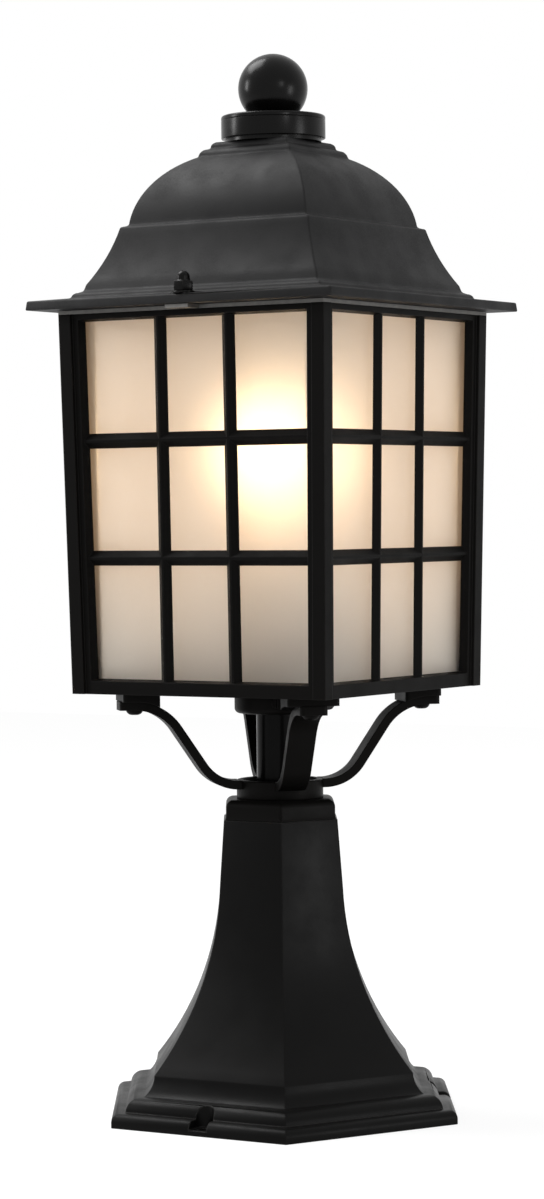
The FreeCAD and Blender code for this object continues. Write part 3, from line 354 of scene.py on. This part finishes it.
blotchSettings = {
    "darkSteel": {"light": (0.055, 0.052, 0.05), "dark": (0.02, 0.019, 0.018), "metallic": 0.85,
                  "rough": (0.3, 0.5), "scale": 260.0, "detail": 5.0, "bump": 0.08},
    "plateSteel": {"light": (0.20, 0.195, 0.185), "dark": (0.09, 0.088, 0.085), "metallic": 0.7,
                   "rough": (0.45, 0.60), "scale": 300.0, "detail": 5.0, "bump": 0.05},
    "zincSteel": {"light": (0.62, 0.61, 0.57), "dark": (0.42, 0.41, 0.38), "metallic": 1.0,
                  "rough": (0.28, 0.5), "scale": 320.0, "detail": 5.0, "bump": 0.08},
    "capAluminium": {"light": (0.80, 0.80, 0.81), "dark": (0.58, 0.58, 0.60), "metallic": 1.0,
                     "rough": (0.25, 0.42), "scale": 240.0, "detail": 5.0, "bump": 0.05},
    "plainBrass": {"light": (0.74, 0.55, 0.26), "dark": (0.50, 0.35, 0.15), "metallic": 1.0,
                   "rough": (0.25, 0.45), "scale": 280.0, "detail": 5.0, "bump": 0.05},
    "glazedPorcelain": {"light": (0.86, 0.85, 0.82), "dark": (0.76, 0.75, 0.71), "metallic": 0.0,
                        "rough": (0.12, 0.25), "scale": 60.0, "detail": 4.0, "bump": 0.02},
    "edgeRubber": {"light": (0.03, 0.03, 0.03), "dark": (0.015, 0.015, 0.015), "metallic": 0.0,
                   "rough": (0.6, 0.8), "scale": 500.0, "detail": 4.0, "bump": 0.1},
    "terminalPlastic": {"light": (0.78, 0.77, 0.73), "dark": (0.68, 0.67, 0.63), "metallic": 0.0,
                        "rough": (0.35, 0.5), "scale": 400.0, "detail": 4.0, "bump": 0.05},
    "wirePlastic": {"light": (0.50, 0.17, 0.05), "dark": (0.40, 0.13, 0.04), "metallic": 0.0,
                    "rough": (0.35, 0.5), "scale": 300.0, "detail": 4.0, "bump": 0.03},
}
blotchDepth = 0.2            # mm


def blotchedFinish(name):
    look = blotchSettings[name]
    material, tree, skin = newFinish(name, Metallic=look["metallic"])
    blotch = node(tree, "ShaderNodeTexNoise", [("Vector", objectPoint(tree))], Scale=look["scale"],
                  Detail=look["detail"])
    colour = blend(tree, blotch.outputs[0], look["dark"], look["light"])
    tree.links.new(colour.outputs[2], skin.inputs["Base Color"])
    roughen(tree, skin, blotch.outputs[0], look["rough"])
    bump = node(tree, "ShaderNodeBump", [("Height", blotch.outputs[0])], Strength=look["bump"],
                Distance=blotchDepth * mm)
    tree.links.new(bump.outputs[0], skin.inputs["Normal"])
    return material


paneSettings = {
    "tint": (0.830, 0.800, 0.755),
    "darker": 0.95,          # share of the tint where the frost is thickest
    "ior": 1.45,
    "roughness": (0.56, 0.62),
    "frostScale": 900.0,
    "frostDetail": 3.0,
    "frostBump": 0.05,
    "frostDepth": 0.1,       # mm
    # colour, reach and strength of the warm glow painted on the panes round the bulb
    "warm": (1.0, 0.62, 0.32),
    "glowHeight": 0.375,     # metres, the bright middle of the bulb and of the glow painted on the panes
    "paintedGlowStart": 0.08,       # metres from there
    "paintedGlowReach": 0.09,
    "paintedGlowStrength": 0.10,
}


# frosted glass that carries a painted glow: warm light painted into the panes round the bulb's height
def frostedPaintedGlowFinish():
    look = paneSettings
    material, tree, skin = newFinish("frostedGlass", **{"Transmission Weight": 1.0, "IOR": look["ior"],
                                                        "Emission Strength": look["paintedGlowStrength"]})
    point = objectPoint(tree)
    frost = node(tree, "ShaderNodeTexNoise", [("Vector", point)], Scale=look["frostScale"],
                 Detail=look["frostDetail"])
    colour = blend(tree, frost.outputs[0], [look["darker"] * c for c in look["tint"]], look["tint"])
    tree.links.new(colour.outputs[2], skin.inputs["Base Color"])
    roughen(tree, skin, frost.outputs[0], look["roughness"])
    # painted glow: the panes give off warm light, strongest nearest the bulb's middle
    away = node(tree, "ShaderNodeVectorMath", [(0, point)], operation="DISTANCE")
    away.inputs[1].default_value = (0, 0, look["glowHeight"])
    glow = node(tree, "ShaderNodeMapRange", [("Value", away.outputs["Value"])],
                interpolation_type="SMOOTHSTEP",
                **{"From Min": look["paintedGlowStart"], "From Max": look["paintedGlowStart"] + look["paintedGlowReach"],
                   "To Min": 1.0, "To Max": 0.0})
    warm = blend(tree, glow.outputs[0], (0, 0, 0), look["warm"])
    tree.links.new(warm.outputs[2], skin.inputs["Emission Color"])
    bump = node(tree, "ShaderNodeBump", [("Height", frost.outputs[0])], Strength=look["frostBump"],
                Distance=look["frostDepth"] * mm)
    tree.links.new(bump.outputs[0], skin.inputs["Normal"])
    return material


bulbSettings = {
    "rough": 0.25,
    "milk": (0.84, 0.82, 0.78),
    "milkPale": (0.92, 0.90, 0.87),
    "milkScale": 80.0,
    "milkDetail": 2.0,
    "glow": (1.0, 0.73, 0.44),
    "glowEdge": (0.1, 0.05, 0.02),
    "glowSpan": (0.024, 0.037),  # metres from the bright middle
    "glowLeast": 0.06,
    "strength": 7.5,
}


def opalFinish():
    # the bulb's opal coat, brightest towards its crown
    look = bulbSettings
    material, tree, skin = newFinish("opalGlass", **{"Roughness": look["rough"],
                                                     "Emission Strength": look["strength"]})
    point = objectPoint(tree)
    milk = node(tree, "ShaderNodeTexNoise", [("Vector", point)], Scale=look["milkScale"],
                Detail=look["milkDetail"])
    colour = blend(tree, milk.outputs[0], look["milk"], look["milkPale"])
    tree.links.new(colour.outputs[2], skin.inputs["Base Color"])
    away = node(tree, "ShaderNodeVectorMath", [(0, point)], operation="DISTANCE")
    away.inputs[1].default_value = (0, 0, paneSettings["glowHeight"])
    core = node(tree, "ShaderNodeMapRange", [("Value", away.outputs["Value"])],
                **{"From Min": look["glowSpan"][0], "From Max": look["glowSpan"][1],
                   "To Min": 1.0, "To Max": look["glowLeast"]})
    warm = blend(tree, core.outputs[0], look["glowEdge"], look["glow"])
    tree.links.new(warm.outputs[2], skin.inputs["Emission Color"])
    return material


filamentSettings = {
    "glow": (1.0, 0.62, 0.25), "darker": 0.8, "scale": 700.0, "rough": 0.5, "strength": 20.0,
}


def filamentFinish():
    look = filamentSettings
    material, tree, skin = newFinish("litFilament", **{"Roughness": look["rough"],
                                                       "Emission Strength": look["strength"]})
    bands = node(tree, "ShaderNodeTexNoise", [("Vector", objectPoint(tree))], Scale=look["scale"])
    warm = blend(tree, bands.outputs[0], [look["darker"] * c for c in look["glow"]], look["glow"])
    tree.links.new(warm.outputs[2], skin.inputs["Emission Color"])
    tree.links.new(warm.outputs[2], skin.inputs["Base Color"])
    return material


finishes = {name: paintedFinish(name) for name in paintSettings}
finishes.update({name: blotchedFinish(name) for name in blotchSettings})
finishes["frostedGlass"] = frostedPaintedGlowFinish()
finishes["opalGlass"] = opalFinish()
finishes["litFilament"] = filamentFinish()
print("finishes made:", len(finishes))

slotFinish = {
    "cast_black": "castBlack", "tube_black": "tubeBlack", "gloss_black": "glossBlack",
    "dark_steel": "darkSteel", "zinc_steel": "zincSteel", "frosted_glass": "frostedGlass",
    "bulb_glass": "opalGlass", "cap_aluminium": "capAluminium", "brass": "plainBrass",
    "porcelain": "glazedPorcelain", "rubber": "edgeRubber", "terminal_plastic": "terminalPlastic",
    "wire_plastic": "wirePlastic", "filament": "litFilament",
}

# small steel pieces that look darker than their slot
nodeFinish = {
    "cup_screw": "castBlack", "top_plate": "plateSteel", "arm_screws": "castBlack",
    "roof_washers": "nutBlack",
}


def coatNodes():
    for nodeName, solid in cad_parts.items():
        for place in solid.material_slots:
            slotName = place.material.name.split(".")[0]
            place.material = finishes[nodeFinish.get(nodeName, slotFinish[slotName])]


coatNodes()
print("solids coated")


def finishPiece(piece, finish, body, nodeName):
    piece.data.materials.clear()
    piece.data.materials.append(finishes[finish])
    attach(piece, body)
    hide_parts(nodeName)


castings = {
    "pedestal": {"piece": "pedestalCasting", "round": 0.35, "body": "lantern", "finish": "pedestalBlack"},
    "pedestal_cap": {"piece": "pedestalCapCasting", "round": 0.4, "body": "lantern", "finish": "castBlack"},
    "hub_ring": {"piece": "hubRingCasting", "round": 0.3, "body": "lantern", "finish": "castBlack"},
    "roof": {"piece": "roofCasting", "round": 0.8, "body": "roof_cover", "finish": "roofBlack"},
    "stem_cup": {"piece": "stemCupCasting", "round": 0.4, "body": "lantern", "finish": "castBlack"},
}


def buildCastings():
    for nodeName, look in castings.items():
        piece = meltedCopy(nodeName, look["piece"], look["round"])
        finishPiece(piece, look["finish"], look["body"], nodeName)


buildCastings()
print("castings rounded")


def nodeSpan(nodeName):
    # half width, foot and top of a node's box, in mm
    low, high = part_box(nodeName)
    return (high[0] - low[0]) / 2 / mm, low[2] / mm, high[2] / mm


finialSettings = {
    "footRound": 0.8, "boreRadius": 4.1, "boreDepth": 17.5, "collarBoreGap": 0.2,
    "collarRound": 1.3, "collarFootRound": 0.5, "neckRadius": 27.1, "neckHeight": 2.1,
    "grooveDrop": 2.6, "grooveDepth": 0.35,
    "turnSteps": 128, "ballSteps": 60, "shoulderSteps": 8, "lipSteps": 4,
}


def buildFinial():
    look = finialSettings
    radius, foot, top = nodeSpan("finial_ball")
    middle = top - radius
    footAngle = math.degrees(math.asin((foot - middle + look["footRound"]) / radius))
    footRadius = math.sqrt(radius ** 2 - (middle - foot) ** 2) - look["footRound"]
    profile = [(0, foot + look["boreDepth"]), (look["boreRadius"], foot + look["boreDepth"]),
               (look["boreRadius"], foot), (footRadius, foot)]
    profile += arcPoints(0, middle, radius, footAngle, latheSettings["nearPole"], look["ballSteps"])
    profile.append((0, top))
    ball = lathed("finialBall", profile, look["turnSteps"])
    finishPiece(ball, "glossBlack", "finial", "finial_ball")

    radius, foot, top = nodeSpan("finial_collar")
    bore = look["boreRadius"] + look["collarBoreGap"]
    lip, shoulder = look["collarFootRound"], look["collarRound"]
    step = foot + look["neckHeight"]
    groove = top - look["grooveDrop"]
    profile = [(bore, foot), (look["neckRadius"], foot), (look["neckRadius"], step)]
    profile += arcPoints(radius - lip, step + lip, lip, -90, 0, look["lipSteps"])
    profile += [(radius, groove - look["grooveDepth"]), (radius - look["grooveDepth"], groove),
                (radius, groove + look["grooveDepth"])]
    profile += arcPoints(radius - shoulder, top - shoulder, shoulder, 0, 90, look["shoulderSteps"])
    profile += [(bore, top), (bore, foot)]
    collar = lathed("finialCollar", profile, look["turnSteps"])
    finishPiece(collar, "glossBlack", "roof_cover", "finial_collar")


capNutSettings = {
    "flats": 10.0, "hexHeight": 5.2, "domeRadius": 3.6, "flare": 0.6, "neck": 0.15,
    "boreRadius": 2.6, "boreDepth": 8.0, "edgeRound": 0.25, "roundSegments": 3, "roundFrom": 40,
    "sink": 0.3,             # how far the turned part lies inside the hexagon
    "lap": 0.2, "proud": 0.02, "lower": 0.01,
    "turnSteps": 48, "domeSteps": 20,
}


def buildCapNuts():
    look = capNutSettings
    low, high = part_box("cap_nut_front")
    foot, top = low[2] / mm, high[2] / mm
    hexTop = foot + look["hexHeight"]
    corner = look["flats"] / math.sqrt(3)
    bpy.ops.object.select_all(action="DESELECT")
    bpy.ops.mesh.primitive_cylinder_add(vertices=6, radius=corner * mm, depth=look["hexHeight"] * mm,
                                        location=(0, 0, 0), rotation=(0, 0, math.radians(30)))
    block = bpy.context.object
    bpy.ops.object.transform_apply(location=True, rotation=True, scale=True)
    block.data.transform(Matrix.Translation((0, 0, (foot + look["hexHeight"] / 2) * mm)))
    applyModifier(block, "BEVEL", width=look["edgeRound"] * mm, segments=look["roundSegments"],
                  limit_method="ANGLE", angle_limit=math.radians(look["roundFrom"]))
    middle = top - look["domeRadius"]
    side = look["flats"] / 2 - look["sink"]
    profile = [(0, foot + look["boreDepth"]), (look["boreRadius"], foot + look["boreDepth"]),
               (look["boreRadius"], foot - look["lower"]), (side, foot - look["lower"]),
               (side, hexTop - look["lap"]), (look["domeRadius"] + look["flare"], hexTop + look["proud"]),
               (look["domeRadius"] + look["neck"], hexTop + look["flare"])]
    profile += arcPoints(0, middle, look["domeRadius"], 0, latheSettings["nearPole"], look["domeSteps"])
    profile.append((0, top))
    dome = lathed("capNutDome", profile, look["turnSteps"])
    nut = joined([block, dome], "capNutFront")
    smoothShade(nut, 30)
    nut.data.transform(Matrix.Translation((0, (low[1] + high[1]) / 2, 0)))
    twin = copyTurned(nut, "capNutBack", 180)
    finishPiece(nut, "nutBlack", "front_cap_nut", "cap_nut_front")
    finishPiece(twin, "nutBlack", "back_cap_nut", "cap_nut_back")


bulbSizes = {
    "threadPitch": 3.6, "threadDepth": 0.7, "threadTurns": 6, "turnPoints": 8,
    "tipRadius": 5.0, "tipHeight": 3.0, "tipRound": 0.4, "insulator": 2.4, "land": 1.0,
    "lip": 0.6, "rim": 1.0, "capSteps": 64,
    "neckRadius": 12.2, "neckSteps": 16, "neckEase": 1.6, "wall": 1.0,
    "shoulder": 0.72,        # share of the radius below the middle where the neck meets the globe
    "turnSteps": 96, "globeSteps": 48,
    "smooth": 60,            # degrees
}


def buildBulb():
    # the cap's thread is rolled sheet, so it swells and sinks in equal waves
    look = bulbSizes
    radius, foot, top = nodeSpan("bulb_cap")
    profile = [(0, foot), (look["tipRadius"] - look["tipRound"], foot),
               (look["tipRadius"], foot + look["tipRound"]),
               (radius - look["insulator"], foot + look["tipHeight"])]
    start = foot + look["tipHeight"] + look["land"]
    for step in range(look["threadTurns"] * look["turnPoints"] + 1):
        height = start + look["threadPitch"] * step / look["turnPoints"]
        swell = (1 + math.cos(2 * math.pi * step / look["turnPoints"])) / 2
        profile.append((radius - look["threadDepth"] * swell, height))
    profile += [(radius - look["threadDepth"], top - look["lip"]), (radius - look["rim"], top), (0, top)]
    cap = lathed("bulbCap", profile, look["capSteps"], look["smooth"])
    finishPiece(cap, "capAluminium", "bulb", "bulb_cap")

    radius, foot, top = nodeSpan("bulb_globe")
    middle = top - radius
    meet = math.degrees(math.asin(-look["shoulder"]))
    meetRadius = radius * math.cos(math.radians(meet))
    meetHeight = middle - radius * look["shoulder"]
    neck = []
    for step in range(look["neckSteps"]):
        share = step / look["neckSteps"]
        ease = share ** look["neckEase"]
        neck.append((look["neckRadius"] + (meetRadius - look["neckRadius"]) * ease,
                     foot + (meetHeight - foot) * share))
    dome = arcPoints(0, middle, radius, meet, latheSettings["nearPole"], look["globeSteps"])
    profile = neck + dome + [(0, top)]
    globe = lathed("bulbGlobe", profile, look["turnSteps"], look["smooth"])
    applyModifier(globe, "SOLIDIFY", thickness=look["wall"] * mm, offset=-1.0)
    smoothShade(globe, look["smooth"])
    finishPiece(globe, "opalGlass", "bulb", "bulb_globe")


buildFinial()
buildCapNuts()
buildBulb()
print("finial, cap nuts and bulb modelled")


studio = {
    "floorHalf": 3.0,
    "floorColour": (0.80, 0.80, 0.80, 1),
    "floorFaint": (0.25, 0.25, 0.25, 1),
    "floorWhite": 0.86,
    "roomLevel": 0.45,       # the world's light on the lantern
    "aim": (0, 0, 0.32),     # where the lamps point
}

lamps = {
    "upperLeftBox": {"place": (-1.15, -0.10, 2.05), "size": (1.1, 1.1), "power": 32.0},
    "leftBox": {"place": (-1.77, -0.88, 0.88), "size": (0.35, 0.7), "power": 12.0},
    "frontBox": {"place": (1.9, -1.03, 0.94), "size": (0.35, 0.35), "power": 4.0},
    "rightStrip": {"place": (1.9, 0.15, 0.30), "size": (0.5, 0.8), "power": 9.0},
}


def seenWhite(tree):
    # one where the ray comes from the camera, a gloss or the glass
    seen = node(tree, "ShaderNodeLightPath")
    glossOrGlass = node(tree, "ShaderNodeMath", [(0, seen.outputs["Is Glossy Ray"]),
                                                 (1, seen.outputs["Is Transmission Ray"])],
                        operation="MAXIMUM")
    return node(tree, "ShaderNodeMath", [(0, seen.outputs["Is Camera Ray"]), (1, glossOrGlass.outputs[0])],
                operation="MAXIMUM")


def buildFloor():
    bpy.ops.object.select_all(action="DESELECT")
    bpy.ops.mesh.primitive_plane_add(size=2 * studio["floorHalf"], location=(0, 0, 0))
    floor = bpy.context.object
    floor.name = "paleFloor"
    material = bpy.data.materials.new("paleFloor")
    material.use_nodes = True
    tree = material.node_tree
    tree.nodes.clear()
    shown = seenWhite(tree)
    matt = node(tree, "ShaderNodeBsdfDiffuse", Color=studio["floorColour"])
    faint = node(tree, "ShaderNodeBsdfDiffuse", Color=studio["floorFaint"])
    white = node(tree, "ShaderNodeEmission", Strength=studio["floorWhite"])
    sheet = node(tree, "ShaderNodeAddShader", [(0, faint.outputs[0]), (1, white.outputs[0])])
    mixed = node(tree, "ShaderNodeMixShader", [(0, shown.outputs[0]), (1, matt.outputs[0]),
                                               (2, sheet.outputs[0])])
    output = node(tree, "ShaderNodeOutputMaterial")
    tree.links.new(mixed.outputs[0], output.inputs["Surface"])
    floor.data.materials.append(material)


def buildRoom():
    world = bpy.data.worlds.new("paleRoom")
    bpy.context.scene.world = world
    world.use_nodes = True
    tree = world.node_tree
    tree.nodes.clear()
    shown = seenWhite(tree)
    room = node(tree, "ShaderNodeBackground", Color=(1, 1, 1, 1), Strength=studio["roomLevel"])
    white = node(tree, "ShaderNodeBackground", Color=(1, 1, 1, 1), Strength=1.0)
    mixed = node(tree, "ShaderNodeMixShader", [(0, shown.outputs[0]), (1, room.outputs[0]),
                                               (2, white.outputs[0])])
    output = node(tree, "ShaderNodeOutputWorld")
    tree.links.new(mixed.outputs[0], output.inputs["Surface"])


def buildLamps():
    aim = Vector(studio["aim"])
    for name, look in lamps.items():
        lamp = bpy.data.lights.new(name, "AREA")
        lamp.shape = "RECTANGLE"
        lamp.size, lamp.size_y = look["size"]
        lamp.energy = look["power"]
        holder = bpy.data.objects.new(name, lamp)
        bpy.context.scene.collection.objects.link(holder)
        holder.location = look["place"]
        holder.rotation_euler = (aim - holder.location).to_track_quat("-Z", "Y").to_euler()


cameraSettings = {
    "place": (1.044747, -1.604795, 0.339536),
    "heading": 33.168,       # degrees from +Y towards -X
    "tilt": -1.496,
    "roll": -0.587,
    "lens": 101.637,         # mm on a sensor 36 mm high
    "sensorHeight": 36.0,
    "nearClip": 0.05,
}


def buildCamera():
    lens = bpy.data.cameras.new("studioCamera")
    lens.sensor_fit = "VERTICAL"
    lens.sensor_height = cameraSettings["sensorHeight"]
    lens.lens = cameraSettings["lens"]
    lens.clip_start = cameraSettings["nearClip"]
    camera = bpy.data.objects.new("studioCamera", lens)
    bpy.context.scene.collection.objects.link(camera)
    turn = Matrix.Rotation(math.radians(cameraSettings["heading"]), 4, "Z")
    turn = turn @ Matrix.Rotation(math.radians(90 + cameraSettings["tilt"]), 4, "X")
    turn = turn @ Matrix.Rotation(math.radians(cameraSettings["roll"]), 4, "Z")
    camera.matrix_world = Matrix.Translation(cameraSettings["place"]) @ turn
    bpy.context.scene.camera = camera


buildFloor()
buildRoom()
buildLamps()
buildCamera()
bpy.context.scene.view_settings.view_transform = "Standard"
print("floor, room, lamps and camera ready")
